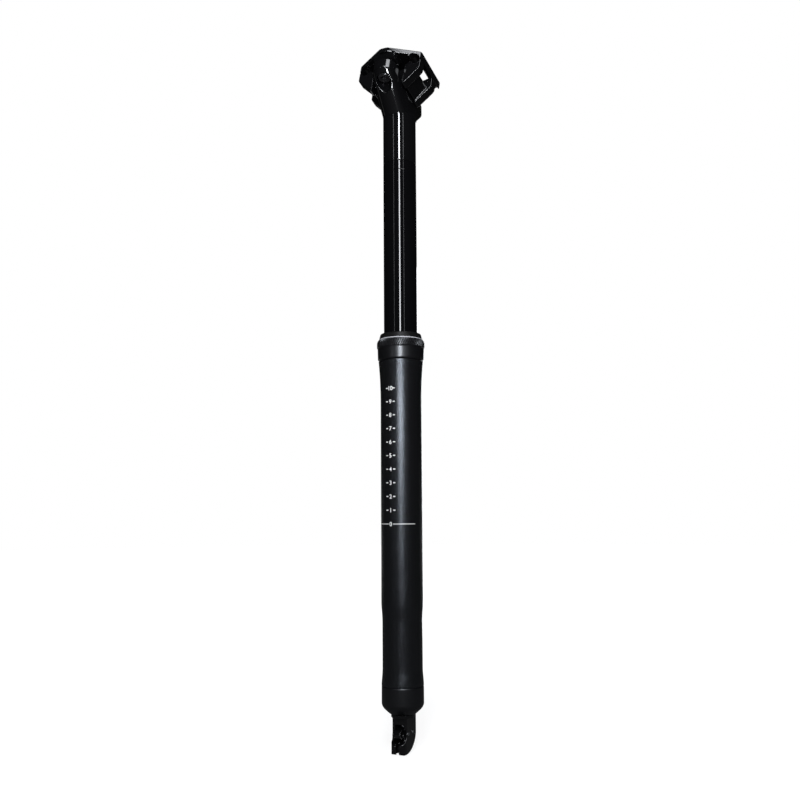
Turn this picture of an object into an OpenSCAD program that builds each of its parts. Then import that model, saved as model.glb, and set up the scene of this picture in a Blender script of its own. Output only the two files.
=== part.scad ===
// Dropper seatpost: a telescopic bicycle seatpost with a two-bolt saddle clamp and a cable-worked lock.
// Millimetres. The origin is on the post's axis at the zero of the insertion scale.
// +Z runs up the post and +X points to the front of the bicycle. The rest pose is fully extended.

/* [Post] */
// Outside diameter of the shank that the frame clamps
tube_d = 30.9; // [30.4:0.1:31.6]
// Wall of the lower tube
tube_wall = 2.05; // [1.95:0.05:2.15]
// Wall of the sliding upper tube
stan_wall = 1.85; // [1.8:0.05:1.95]
// Room between the two tubes, which the guides fill
guide_t = 0.65; // [0.6:0.05:0.75]
// How far the upper tube drops
travel = 170; // [150:5:170]
// Height of the collar's lower edge above the scale's zero
shank_top = 121.5; // [118:0.5:125]
// How much slimmer the waist above the end cap is than the shank
waist_cut = 1.5; // [1:0.1:1.6]
// How far the collar's lower edge stands out over the tube's flared end
flare_step = 0.45; // [0.3:0.05:0.6]

/* [Collar] */
// Height of the screwed collar with its shoulder
collar_h = 21.0; // [20:0.5:22]
// Wall of the collar over its thread
collar_wall = 1.6; // [1.4:0.1:1.8]
// Wall of the threaded neck inside the collar
neck_wall = 1.07; // [0.97:0.05:1.22]
// How far the grip band stands out
grip_step = 0.75; // [0.6:0.05:0.9]
// Height of the grip band
grip_h = 5.2; // [4.5:0.1:6]
// Number of shallow notches round the grip band
grip_count = 48; // [36:4:60]

/* [Head and clamp] */
// Lean of the rail clamp, front end down, square to the post
head_tilt = 17; // [15:0.5:19]
// Distance of each clamp bolt's nut from the tilt axis
bolt_x = 20.5; // [20:0.1:21]
// Radius of the curved seat under the cradle
seat_r = 21; // [20.6:0.1:21.4]
// Half the distance between the saddle rails
rail_y = 22; // [21.5:0.1:22.5]
// Diameter of a saddle rail
rail_d = 7; // [7:0.1:7.2]
// Length of the top clamp's tips beyond the bolts
tip_over = 8.3; // [7.8:0.1:8.8]
// Metal outside the rail grooves
groove_wall = 1.3; // [1:0.1:1.6]
// Length of a wing ahead of the tilt axis
wing_front = 20; // [19:0.5:21]
// Length of a wing behind the tilt axis
wing_rear = 16; // [15:0.5:17]
// Thickness of the top clamp's plate
plate_t = 4; // [3.6:0.1:4.4]
// Radius of the lug round the rear bolt
rear_lug_r = 9.5; // [9.2:0.1:9.8]
// Radius of the lug round the front bolt
front_lug_r = 9.2; // [8.8:0.1:9.6]
// Thread diameter of the clamp bolts
bolt_d = 6; // [5.8:0.1:6]
// Diameter of a bolt's head
bolt_head_d = 10; // [9.6:0.1:10.2]
// Diameter of the barrel nuts
nut_d = 9; // [8.8:0.1:9.2]
// Radius of the round seat that lets the front bolt lean as the clamp tilts
front_round = 10; // [9.5:0.1:10.5]

/* [Gas lock] */
// Room between the gas cylinder and the upper tube
cyl_gap = 1.5; // [1.4:0.1:1.8]
// Wall of the gas cylinder
cyl_wall = 1.2; // [1:0.1:1.3]
// Room between the piston rod and the bore of the gas cylinder
rod_gap = 3.2; // [3:0.1:3.4]
// Share of the rod's radius that the release pin takes
pin_share = 0.3; // [0.28:0.01:0.32]

/* [Release lever] */
// Width of the lever bracket
bracket_w = 11.6; // [11.2:0.2:12.4]
// Width of the slot that the lever works in
slot_w = 7.2; // [7:0.1:7.4]
// Height of the bracket below the end cap
bracket_h = 27.4; // [27.2:0.1:28]
// Diameter of the seat for the cable's housing
housing_d = 5; // [4.8:0.1:5.2]
// Diameter of the lever's pivot pin
pivot_d = 2.4; // [2.2:0.1:2.6]

/* [Fits] */
// Radial running clearance of a sliding fit
run_fit = 0.05; // [0.03:0.01:0.08]
// Radial clearance of pieces that are seated together
seat_fit = 0.03; // [0.02:0.01:0.05]
// Radial play of a clamp bolt in its nut, which lets the nut turn as the clamp tilts
nut_play = 0.2; // [0.18:0.02:0.3]
// Air kept between pieces that move past each other
air = 0.4; // [0.35:0.05:0.5]

/* [Hidden] */
$fn = 96;
// Lower tube
tube_r = tube_d / 2;
bore_r = tube_r - tube_wall;
stan_r = bore_r - guide_t;
sleeve_r = stan_r + 1.9;
sleeve_deep = 19.5;
sleeve_z = shank_top - sleeve_deep;
bumper_room = 4;
guide_top = sleeve_z - bumper_room;
guide_h = 26;
guide_z = guide_top - guide_h;
stan_tail = 6.5;
stan_low = guide_z - stan_tail;
cap_spigot_h = 8.3;
bumper_h = 3;
bumper_gap = 0.5;
floor_z = stan_low - travel - bumper_gap - bumper_h;
joint_z = floor_z - cap_spigot_h;
waist_r = tube_r - waist_cut / 2;
waist_start = 12.3;
waist_len = 33;
waist_fade = 15;
waist_low = joint_z + waist_start;
waist_high = waist_low + waist_len;
waist_end = waist_high + waist_fade;
flare_len = 33.5;
flare_low = shank_top - flare_len;
thread_r = sleeve_r + seat_fit + neck_wall;
collar_r = thread_r + collar_wall;
grip_r = collar_r + grip_step;
flare_r = collar_r - flare_step;
step_n = 8;
function ease(t) = t * t * (3 - 2 * t);
low_curve = [for (i = [0 : step_n])
    [tube_r - 0.05 + (waist_r - tube_r + 0.05) * ease(i / step_n), joint_z + waist_start * i / step_n]];
high_curve = [for (i = [0 : step_n])
    [waist_r + (tube_r - waist_r) * ease(i / step_n), waist_high + (waist_end - waist_high) * i / step_n]];
flare_curve = [for (i = [0 : step_n + 2])
    let (t = i / (step_n + 2))
    [tube_r + (flare_r - tube_r) * pow(t, 2.25), flare_low + (shank_top - flare_low) * t]];
neck_h = 12.5;
neck_top = shank_top + neck_h;
// Collar and what lies under it
collar_z = shank_top + 0.4;
collar_top = collar_z + collar_h;
shoulder_h = 5.6;
grip_top = collar_top - shoulder_h;
grip_z = grip_top - grip_h;
lip_r = stan_r + 1.1;
seal_z = neck_top + 0.5;
seal_r = sleeve_r + 0.4;
spacer_h = 4;
foam_h = 4;
bush_z = sleeve_z + spacer_h;
bush_top = neck_top - foam_h;
// Upper tube and its guides
stan_ir = stan_r - stan_wall;
flare_z = collar_top + 1.6 + travel;
socket_h = 37.6;
socket_z = flare_z - socket_h;
spigot_h = 30;
spigot_z = socket_z - spigot_h;
ring_drop = 7;
ring_z = socket_z - ring_drop;
guide_r = stan_r - 0.35;
key_z = guide_z + 6;
key_h = 12;
key_w = 3;
key_deep = 0.7;
key_out = 0.5;
groove_deep = 0.62;
// Gas lock
cyl_r = stan_ir - cyl_gap;
cyl_ir = cyl_r - cyl_wall;
rod_r = cyl_ir - rod_gap;
pin_r = rod_r * pin_share;
rod_bore = pin_r + 0.3;
tail_r = 0.8 * rod_r;
stud_r = 0.7 * rod_r;
seal_deep = rod_gap / 2;
seal_h = 2.5;
seal_up = 6;
retainer_h = 7;
rodguide_z = stan_low + retainer_h;
rodguide_flange = 2;
rodguide_h = 13;
cyl_z = rodguide_z + rodguide_flange;
piston_z = rodguide_z + rodguide_h + 3;
piston_h = 9;
roof_drop = 7.6;
roof_z = flare_z - roof_drop;
cyl_top = roof_z - 1;
plug_h = 10;
// Head
head_rise = 35.9;
tilt_z = flare_z + head_rise;
rail_drop = 3;
plate_top = 3;
plate_low = plate_top - plate_t;
rail_r = rail_d / 2;
split = 0.4;
wall_t = 7;
head_half = stan_r - 0.25;
reach = 100;
shoe_half = head_half + 0.8;
cradle_front = wing_front - wall_t;
shoe_front = cradle_front;
shoe_top = 6.6;
wall_y = head_half + 0.6;
nut_r = nut_d / 2;
nut_len = 15;
boss_r = nut_r + 1.8;
boss_len = nut_len + 3;
tip_x = bolt_x + tip_over;
wing_y = rail_y + rail_r + groove_wall;
head_h = 6;
washer_t = 1;
washer_r = bolt_head_d / 2 + 0.3;
pocket_r = washer_r + 0.45;
shoe_rear = bolt_x - washer_r - 2.7;
hole_r = bolt_d / 2 + 0.7;
slot_r = bolt_d / 2 + 1.1;
yoke_rear = 6;
yoke_front = 12;
yoke_low = 24;
yoke_h = 8;
rear_lug_top = boss_r + 2.2;
rear_seat = rear_lug_top + 4;
rear_lug_low = rear_lug_top + 8.5;
front_px = bolt_x * cos(head_tilt);
front_nut_z = tilt_z - bolt_x * sin(head_tilt);
front_lug_top = front_nut_z - boss_r - 4.2;
front_seat_z = front_lug_top - 5.5;
front_lug_low = front_lug_top - 8;
bolt_over = 4.6;
rear_shank = rear_seat + washer_t + bolt_over;
front_pivot_z = front_seat_z - front_round - run_fit;
front_washer_z = front_pivot_z + front_round - 2.2;
front_shank = front_nut_z - front_washer_z + bolt_over;
socket_af = 5;
// Release lever
cap_h = 19.7;
cone_h = 6;
cap_end = joint_z - cap_h;
cap_cone = cap_end + cone_h;
cap_low_r = 9.5;
tail_h = 7.5;
tail_z = cap_end - tail_h;
bracket_end = cap_end - bracket_h;
bracket_rear = 5.6;
flange_r = 8.6;
flange_t = 2.55;
cable_r = 0.9;
bracket_front = 10.2;
toe_x = 10.4;
toe_h = 7.6;
toe_top = bracket_end + toe_h;
toe_round = 4.5;
heel_x = 5.8;
spine_t = 4;
sweep_h = 15.5;
pivot_x = -3.2;
pivot_z = tail_z - 6;
pivot_r = pivot_d / 2;
nose_r = 2.2;
nose_x = 0.2;
nose_z = pivot_z + 1.8;
pull_x = -8;
housing_x = pull_x + 1.6;
pull_r = 3.1;
barrel_r = 2.3;
lever_w = slot_w - 2 * air;
stop_x = nose_x + 3.5;
stop_z = nose_z - 1.4;
stop_r = 1.2;
release_low = nose_z + nose_r + 0.3;

// A ring between two radii
module ring(ri, ro, z, h) {
    rotate_extrude() polygon([[ri, z], [ro, z], [ro, z + h], [ri, z + h]]);
}

// The leaning frame of the saddle clamp: its origin is on the tilt axis
module leaning() {
    translate([0, 0, tilt_z]) rotate([0, head_tilt, 0]) children();
}

// A cylinder across the post, along Y
module across(r, len) {
    rotate([90, 0, 0]) cylinder(r = r, h = len, center = true);
}

// An outline with its corners rounded off, each over the given length of its two sides
function unit(v) = v / norm(v);
function toward(points, i, j) = unit(points[(j + len(points)) % len(points)] - points[i]);
function rounded(points, length) = [for (i = [0 : len(points) - 1], t = [0 : 0.25 : 1])
    points[i] + length * (pow(1 - t, 2) * toward(points, i, i - 1) + t * t * toward(points, i, i + 1))];

// Three places round the post
module thrice() {
    for (i = [0 : 2]) rotate([0, 0, 60 + 120 * i]) children();
}

module outer_tube() color("#1d1e21") {
    difference() {
        rotate_extrude() polygon(concat(
            [[bore_r, joint_z]],
            low_curve,
            high_curve,
            flare_curve,
            [[thread_r, shank_top], [thread_r, neck_top], [sleeve_r + seat_fit, neck_top],
             [sleeve_r + seat_fit, sleeve_z], [bore_r, sleeve_z]]));
        thrice() translate([bore_r - 1, -key_w / 2 - run_fit, joint_z + cap_spigot_h - 4])
            cube([1 + groove_deep, key_w + 2 * run_fit, sleeve_z - joint_z]);
    }
}

module seal_collar() color("#1a1b1d") {
    difference() {
        rotate_extrude() polygon([
            [thread_r + seat_fit, collar_z],
            [collar_r - 0.3, collar_z],
            [collar_r, collar_z + 0.3],
            [collar_r + 0.3, grip_z - 0.5],
            [grip_r - 0.3, grip_z - 0.1],
            [grip_r, grip_z + 0.2],
            [grip_r, grip_top - 0.4],
            [grip_r - 0.35, grip_top],
            [grip_r - 1.5, grip_top + 1.5],
            [lip_r + 1.6, collar_top - 0.6],
            [lip_r + 1.2, collar_top - 0.2],
            [lip_r, collar_top - 0.2],
            [lip_r, collar_top - 1.4],
            [seal_r + seat_fit, collar_top - 3.2],
            [seal_r + seat_fit, seal_z],
            [thread_r + seat_fit, seal_z]]);
        for (i = [0 : grip_count - 1]) rotate([0, 0, i * 360 / grip_count])
            translate([grip_r + 0.35, 0, grip_z + 0.5]) cylinder(r = 0.6, h = grip_h - 1.2, $fn = 16);
    }
}

module wiper_seal() color("#2a2a2a") rotate_extrude() polygon([
    [stan_r + run_fit, seal_z + 0.4],
    [seal_r, seal_z + 0.1],
    [seal_r, collar_top - 3.4],
    [lip_r - seat_fit, collar_top - 1.7],
    [lip_r - seat_fit, collar_top - 0.4],
    [stan_r + 0.5, collar_top],
    [stan_r + run_fit, collar_top - 0.2],
    [stan_r + run_fit, collar_top - 1.4],
    [stan_r + 0.6, collar_top - 2.6],
    [stan_r + 0.6, seal_z + 2]]);

module foam_ring() color("#5a5348") ring(stan_r + run_fit, sleeve_r, bush_top + 0.05, foam_h - 0.1);

module upper_bushing() color("#3b3f45")
    ring(stan_r + run_fit, sleeve_r, bush_z + 0.05, bush_top - bush_z - 0.05);

module travel_spacer() color("#8a8f96") ring(stan_r + 0.3, sleeve_r, sleeve_z + 0.02, spacer_h - 0.02);

module bottom_cap() color("#1c1d20") {
    difference() {
        rotate_extrude() polygon([
            [tail_r + seat_fit, cap_end],
            [cap_low_r, cap_end],
            [cap_low_r + 0.4, cap_end + 0.2],
            [tube_r - 0.35, cap_cone - 0.3],
            [tube_r - 0.05, cap_cone],
            [tube_r - 0.05, joint_z - 0.25],
            [tube_r - 0.25, joint_z - 0.05],
            [bore_r - seat_fit, joint_z - 0.05],
            [bore_r - seat_fit, floor_z - 0.6],
            [bore_r - 0.6, floor_z],
            [tail_r + seat_fit, floor_z]]);
        ring(bore_r - 1.2, bore_r + 0.2, joint_z + 4, 1.8);
    }
}

module cap_seal_ring() color("#242424")
    ring(bore_r - 1.15, bore_r - seat_fit, joint_z + 4.1, 1.6);

module bottom_bumper() color("#2c2c2c")
    ring(rod_r + 0.3, bore_r - 0.5, floor_z + 0.02, bumper_h - 0.02);

module piston_rod() color("#c9ccd0") {
    difference() {
        rotate_extrude() polygon([
            [0, tail_z],
            [tail_r - 0.4, tail_z],
            [tail_r, tail_z + 0.4],
            [tail_r, floor_z + 0.02],
            [rod_r, floor_z + 0.02],
            [rod_r, piston_z],
            [stud_r, piston_z],
            [stud_r, piston_z + piston_h + 1],
            [0, piston_z + piston_h + 1]]);
        translate([0, 0, tail_z - 1]) cylinder(r = rod_bore, h = piston_z - tail_z + 4);
    }
}

module piston() color("#a8acb2") {
    rotate_extrude() polygon([
        [stud_r + seat_fit, piston_z + 0.02],
        [cyl_ir - 0.3, piston_z + 0.02],
        [cyl_ir - 0.12, piston_z + 0.3],
        [cyl_ir - 0.12, piston_z + 3],
        [cyl_ir - 1.4, piston_z + 3],
        [cyl_ir - 1.4, piston_z + 5.4],
        [cyl_ir - 0.12, piston_z + 5.4],
        [cyl_ir - 0.12, piston_z + piston_h - 0.3],
        [cyl_ir - 0.3, piston_z + piston_h],
        [stud_r + seat_fit, piston_z + piston_h]]);
}

module piston_ring() color("#3a3a3a") ring(cyl_ir - 1.35, cyl_ir - run_fit, piston_z + 3.1, 2.2);

// Side outline of the lever bracket: a straight back that sweeps round below to a toe at the rear
bracket_outline = concat(
    [[-bracket_rear, cap_end - 0.05], [-bracket_rear, toe_top + 4.5], [-bracket_rear - 1.2, toe_top + 1.8],
     [-toe_x + 0.6, toe_top - 0.4], [-toe_x, toe_top - 1.6], [-toe_x, toe_top - 3],
     [-toe_x + 0.8, toe_top - 4.2], [-toe_x + 1.1, toe_top - 5], [-toe_x + 1.1, bracket_end + 0.6],
     [-toe_x + 1.7, bracket_end]],
    [for (i = [0 : 10]) let (a = 90 * i / 10)
        [(bracket_front + heel_x) * sin(a) - heel_x, bracket_end + sweep_h * (1 - cos(a))]],
    [[bracket_front, cap_end - 0.05]]);

// Plan of the lever bracket: square in front and round at the toe
module bracket_plan() {
    polygon(rounded([[-toe_x, -bracket_w / 2], [0, -bracket_w / 2], [0, bracket_w / 2], [-toe_x, bracket_w / 2]],
        toe_round));
    polygon(rounded([[-bracket_rear, -bracket_w / 2], [bracket_front, -bracket_w / 2],
        [bracket_front, bracket_w / 2], [-bracket_rear, bracket_w / 2]], 1));
}

module actuator_bracket() color("#161719") {
    difference() {
        union() {
            intersection() {
                rotate([90, 0, 0]) linear_extrude(height = reach, center = true) polygon(bracket_outline);
                translate([0, 0, bracket_end - 1]) linear_extrude(height = bracket_h + 2) bracket_plan();
            }
            translate([0, 0, cap_end - 0.05 - flange_t]) cylinder(r = flange_r, h = flange_t);
        }
        translate([-toe_x - 2, -slot_w / 2, toe_top])
            cube([toe_x + 2 + bracket_front - spine_t, slot_w, tail_z - toe_top]);
        translate([0, 0, tail_z - 1]) cylinder(r = tail_r + seat_fit, h = 12);
        translate([pivot_x, 0, pivot_z]) across(pivot_r + seat_fit, bracket_w + 2);
        translate([stop_x, 0, stop_z]) across(stop_r + seat_fit, bracket_w + 2);
        translate([housing_x, 0, bracket_end - 1]) cylinder(r = housing_d / 2, h = 6.5);
        translate([housing_x, 0, bracket_end]) cylinder(r = cable_r, h = 12);
        translate([-toe_x - 2, -cable_r, bracket_end - 1]) cube([toe_x + 2 + housing_x, 2 * cable_r, 14]);
    }
}

module lever_pivot_pin() color("#c9ccd0")
    translate([pivot_x, 0, pivot_z]) across(pivot_r, bracket_w + 0.6);

module lever_stop_pin() color("#c9ccd0")
    translate([stop_x, 0, stop_z]) across(stop_r, bracket_w + 0.6);

module actuator_lever() color("#191a1c") {
    difference() {
        union() {
            translate([pivot_x, 0, pivot_z]) across(pivot_r + 1.5, lever_w);
            translate([nose_x, 0, nose_z]) across(nose_r, lever_w);
            translate([pull_x, 0, pivot_z]) across(pull_r, lever_w);
            rotate([90, 0, 0]) linear_extrude(height = lever_w, center = true) polygon([
                [pull_x, pivot_z - pull_r + 0.4], [pivot_x, pivot_z - 2.5], [nose_x, nose_z - 2.1],
                [nose_x, nose_z + 2.1], [pivot_x, pivot_z + 2.5], [pull_x, pivot_z + pull_r - 0.4]]);
        }
        translate([pivot_x, 0, pivot_z]) across(pivot_r + run_fit, lever_w + 2);
        translate([pull_x, 0, pivot_z]) across(barrel_r, lever_w + 2);
        translate([pull_x - cable_r, -cable_r, pivot_z - 6]) cube([2 * cable_r, 2 * cable_r, 6]);
    }
}

module release_pin() color("#d5d8dc")
    translate([0, 0, release_low]) cylinder(r = pin_r, h = piston_z - release_low);

module stanchion_tube() color("#101114") {
    difference() {
        rotate_extrude() polygon([
            [stan_ir, stan_low],
            [stan_r - 0.5, stan_low],
            [stan_r - 0.1, stan_low + 0.5],
            [stan_r - 0.1, guide_z],
            [guide_r, guide_z],
            [guide_r, sleeve_z - 0.4],
            [stan_r, sleeve_z - 0.4],
            [stan_r, ring_z - 0.3],
            [stan_r - 0.12, ring_z],
            [stan_r, ring_z + 0.3],
            [stan_r, socket_z - 0.2],
            [stan_r - 0.15, socket_z - 0.02],
            [stan_ir, socket_z - 0.02]]);
        thrice() translate([guide_r - key_deep, -key_w / 2 - 0.02, key_z])
            cube([3, key_w + 0.04, key_h]);
    }
}

module post_head() color("#0e0f11") {
    difference() {
        union() {
            rotate_extrude() polygon([
                [cyl_r + 0.1, spigot_z],
                [stan_ir - seat_fit, spigot_z],
                [stan_ir - seat_fit, socket_z],
                [stan_r - 0.15, socket_z],
                [stan_r, socket_z + 0.2],
                [stan_r, flare_z + 1],
                [0, flare_z + 1],
                [0, roof_z],
                [cyl_r + 0.1, roof_z]]);
            hull() {
                translate([0, 0, flare_z - 1.5]) cylinder(r = stan_r - 0.8, h = 0.5, $fn = 48);
                leaning() translate([-bolt_x, 0, -rear_lug_low])
                    cylinder(r = rear_lug_r, h = rear_lug_low - rear_lug_top, $fn = 40);
                translate([front_px, 0, front_lug_low])
                    cylinder(r = front_lug_r, h = front_lug_top - front_lug_low, $fn = 40);
                leaning() translate([-yoke_rear, -head_half, -yoke_low])
                    cube([yoke_rear + yoke_front, 2 * head_half, yoke_h]);
            }
        }
        leaning() across(seat_r + run_fit, reach);
        leaning() translate([-bolt_x, 0, -reach]) cylinder(r = hole_r, h = reach);
        leaning() translate([-bolt_x, 0, -rear_seat - reach]) cylinder(r = pocket_r, h = reach);
        translate([front_px, 0, front_pivot_z]) {
            cylinder(r = hole_r, h = reach);
            translate([0, 0, -reach]) cylinder(r = pocket_r, h = reach);
            intersection() {
                cylinder(r = pocket_r, h = reach);
                across(front_round + run_fit, reach);
            }
        }
        translate([0, -reach / 2, front_lug_top]) cube(reach);
    }
}

module guide_bush() color("#d8d3c4") {
    difference() {
        ring(guide_r + seat_fit, bore_r - run_fit, guide_z + 0.05, guide_h - 0.05);
        thrice() translate([guide_r - 1, -key_w / 2 - 0.02, key_z]) cube([4, key_w + 0.04, key_h]);
    }
}

module guide_keys() color("#b8964a")
    thrice() translate([guide_r - key_deep + 0.02, -key_w / 2, key_z + 0.02])
        cube([bore_r - guide_r + key_deep + key_out - 0.02, key_w, key_h - 0.04]);

module top_bumper() color("#2c2c2c") ring(guide_r + seat_fit, bore_r - 0.25, guide_top + 0.05, 3.5);

module cylinder_retainer() color("#8a8f96") {
    difference() {
        ring(rod_r + 1, stan_ir - seat_fit, stan_low + 0.4, retainer_h - 0.4);
        for (a = [0, 90]) rotate([0, 0, a])
            translate([-stan_ir, -1.2, stan_low]) cube([2 * stan_ir, 2.4, 2]);
    }
}

module gas_cylinder() color("#b9bdc3") ring(cyl_ir, cyl_r, cyl_z + 0.02, cyl_top - cyl_z - 0.02);

module rod_guide() color("#9aa0a7") rotate_extrude() polygon([
    [rod_r + run_fit, rodguide_z + 0.02],
    [cyl_r + 0.3, rodguide_z + 0.02],
    [cyl_r + 0.3, cyl_z],
    [cyl_ir - seat_fit, cyl_z],
    [cyl_ir - seat_fit, rodguide_z + rodguide_h],
    [rod_r + run_fit, rodguide_z + rodguide_h],
    [rod_r + run_fit, rodguide_z + seal_up + seal_h],
    [rod_r + seal_deep, rodguide_z + seal_up + seal_h],
    [rod_r + seal_deep, rodguide_z + seal_up],
    [rod_r + run_fit, rodguide_z + seal_up]]);

module rod_seal() color("#3a3a3a")
    ring(rod_r + run_fit, rod_r + seal_deep - 0.05, rodguide_z + seal_up + 0.05, seal_h - 0.1);

module cylinder_plug() color("#9aa0a7") rotate_extrude() polygon([
    [0, cyl_top - plug_h],
    [cyl_ir - seat_fit, cyl_top - plug_h],
    [cyl_ir - seat_fit, cyl_top + 0.02],
    [cyl_r - 0.4, cyl_top + 0.02],
    [cyl_r - 0.4, roof_z - 0.3],
    [0, roof_z - 0.3]]);

// Cross outline of one arm of the cradle, to the left of the post
arm_in = 3;
arm_out = 8;
arm_low = 21;
arm_outline = [[wall_y, -rail_drop - arm_in], [rail_y - rail_r - 1, -rail_drop - split],
    [wing_y - 0.4, -rail_drop - split], [wing_y - 0.4, -rail_drop - arm_out],
    [wing_y - 1.4, -rail_drop - arm_out - 1.8], [wall_y + 1.6, -rail_drop - arm_low + 0.8],
    [wall_y, -rail_drop - arm_low]];

// Cross outline of the web between the two arms, which leaves the rail free
web_drop = rail_r + 2.5;
web_outline = [[wall_y, -rail_drop - web_drop], [rail_y - 1, -rail_drop - web_drop],
    [rail_y, -rail_drop - web_drop - 1], [rail_y, -rail_drop - arm_out - 1.5],
    [wall_y + 1, -rail_drop - arm_low + 2.4], [wall_y, -rail_drop - arm_low + 2]];

module lower_cradle() color("#141517") leaning() {
    difference() {
        union() {
            intersection() {
                across(seat_r, 2 * shoe_half);
                translate([-shoe_rear, -shoe_half, -seat_r - 1])
                    cube([shoe_rear + shoe_front, 2 * shoe_half, seat_r + 1 - shoe_top]);
            }
            for (s = [0, 1]) mirror([0, s, 0]) {
                for (x = [-wing_rear, cradle_front - wall_t]) translate([x, 0, 0]) rotate([90, 0, 90])
                    linear_extrude(height = wall_t) polygon(arm_outline);
                translate([-wing_rear + 1, 0, 0]) rotate([90, 0, 90])
                    linear_extrude(height = wing_rear + cradle_front - 2) polygon(web_outline);
            }
        }
        for (s = [-1, 1]) translate([0, s * rail_y, -rail_drop])
            rotate([0, 90, 0]) cylinder(r = rail_r, h = reach, center = true);
    }
}

// Plan of the top clamp: a long six-sided plate with blunt tips front and rear
tip_half = 3;
plan_round = 1.6;
plan = rounded([[-tip_x, -tip_half], [-tip_x, tip_half], [-wing_rear, wing_y], [wing_front, wing_y],
    [tip_x, tip_half], [tip_x, -tip_half], [wing_front, -wing_y], [-wing_rear, -wing_y]], plan_round);

// Plan of the window between the bolts' spine and the bar over the left rail
window_in = 12;
window_out = rail_y - 1.2;
window_rear = 8;
window_front = 13;
window = [[-window_rear, window_in], [window_front, window_in], [window_front - 1.5, window_out],
    [2 - window_rear, window_out]];
skirt_w = 2 * (rail_r + 2);
dish = 22;
dish_deep = 1.2;

module upper_clamp() color("#121315") leaning() {
    difference() {
        union() {
            translate([0, 0, plate_low]) linear_extrude(height = plate_t) polygon(plan);
            translate([0, 0, -rail_drop + split]) linear_extrude(height = rail_drop) intersection() {
                polygon(plan);
                for (s = [-1, 1]) translate([-reach / 2, s * (rail_y + 1) - skirt_w / 2])
                    square([reach, skirt_w]);
            }
            for (s = [-1, 1]) translate([s * bolt_x, 0, 0]) intersection() {
                across(boss_r, boss_len);
                translate([-reach / 2, -reach / 2, plate_low + 0.5 - reach]) cube(reach);
            }
        }
        for (s = [-1, 1]) translate([0, s * rail_y, -rail_drop])
            rotate([0, 90, 0]) cylinder(r = rail_r, h = reach, center = true);
        for (s = [-1, 1]) translate([s * bolt_x, 0, 0]) {
            across(nut_r + 0.08, nut_len + 0.6);
            translate([-nut_r - 0.08, -nut_len / 2 - 0.3, 0]) cube([nut_d + 0.16, nut_len + 0.6, 10]);
        }
        translate([-bolt_x, 0, -reach]) cylinder(r = slot_r, h = reach);
        translate([bolt_x, 0, 0]) rotate([0, -head_tilt, 0]) translate([0, 0, -reach])
            cylinder(r = slot_r + 0.3, h = reach);
        translate([-dish / 2, -dish / 2, plate_top - dish_deep]) cube(dish);
        for (s = [0, 1]) mirror([0, s, 0]) translate([0, 0, -reach / 2])
            linear_extrude(height = reach) polygon(rounded(window, 1.5));
    }
}

module rear_barrel_nut() color("#7d8186") leaning() translate([-bolt_x, 0, 0]) difference() {
    across(nut_r, nut_len);
    cylinder(r = bolt_d / 2 + nut_play, h = reach, center = true);
}

module front_barrel_nut() color("#7d8186") translate([front_px, 0, front_nut_z]) difference() {
    across(nut_r, nut_len);
    cylinder(r = bolt_d / 2 + nut_play, h = reach, center = true);
}

// A socket-head bolt: its head's underside is at the origin and its shank points up
module socket_bolt(len) {
    difference() {
        union() {
            cylinder(r = bolt_d / 2, h = len);
            rotate_extrude() polygon([[0, -head_h], [bolt_head_d / 2 - 0.5, -head_h],
                [bolt_head_d / 2, -head_h + 0.5], [bolt_head_d / 2, 0], [0, 0]]);
        }
        translate([0, 0, -head_h - 1]) cylinder(r = socket_af / 2 / cos(30), h = 4.2, $fn = 6);
    }
}

module rear_bolt() color("#2b2d30") leaning() translate([-bolt_x, 0, -rear_seat - washer_t - 0.04])
    socket_bolt(rear_shank);

module rear_washer() color("#6f7378") leaning() translate([-bolt_x, 0, -rear_seat - washer_t - 0.02])
    ring(bolt_d / 2 + 0.2, washer_r, 0, washer_t);

module front_bolt() color("#2b2d30") translate([front_px, 0, front_washer_z - 0.02])
    socket_bolt(front_shank);

// The front washer is half round on top, so that it turns in its seat
module front_washer() color("#6f7378") intersection() {
    translate([front_px, 0, front_washer_z]) ring(bolt_d / 2 + 0.2, washer_r, 0, front_round);
    translate([front_px, 0, front_pivot_z]) across(front_round, reach);
}

outer_tube();
seal_collar();
wiper_seal();
foam_ring();
upper_bushing();
travel_spacer();
bottom_cap();
cap_seal_ring();
bottom_bumper();
piston_rod();
piston();
piston_ring();
actuator_bracket();
lever_pivot_pin();
lever_stop_pin();
actuator_lever();
release_pin();
stanchion_tube();
post_head();
guide_bush();
guide_keys();
top_bumper();
cylinder_retainer();
gas_cylinder();
rod_guide();
rod_seal();
cylinder_plug();
lower_cradle();
upper_clamp();
rear_barrel_nut();
front_barrel_nut();
rear_bolt();
rear_washer();
front_bolt();
front_washer();
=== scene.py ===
# %% [markdown]
# # A dropper seatpost in black aluminium
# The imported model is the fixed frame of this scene. Every piece of it sits at the origin with its place in its mesh,
# in metres, with +Z up the post, +X to the front of the bicycle and the scale's zero at height 0.
# This lesson gives each surface its finish, and adds what is printed or cut too finely for the solids.

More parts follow.
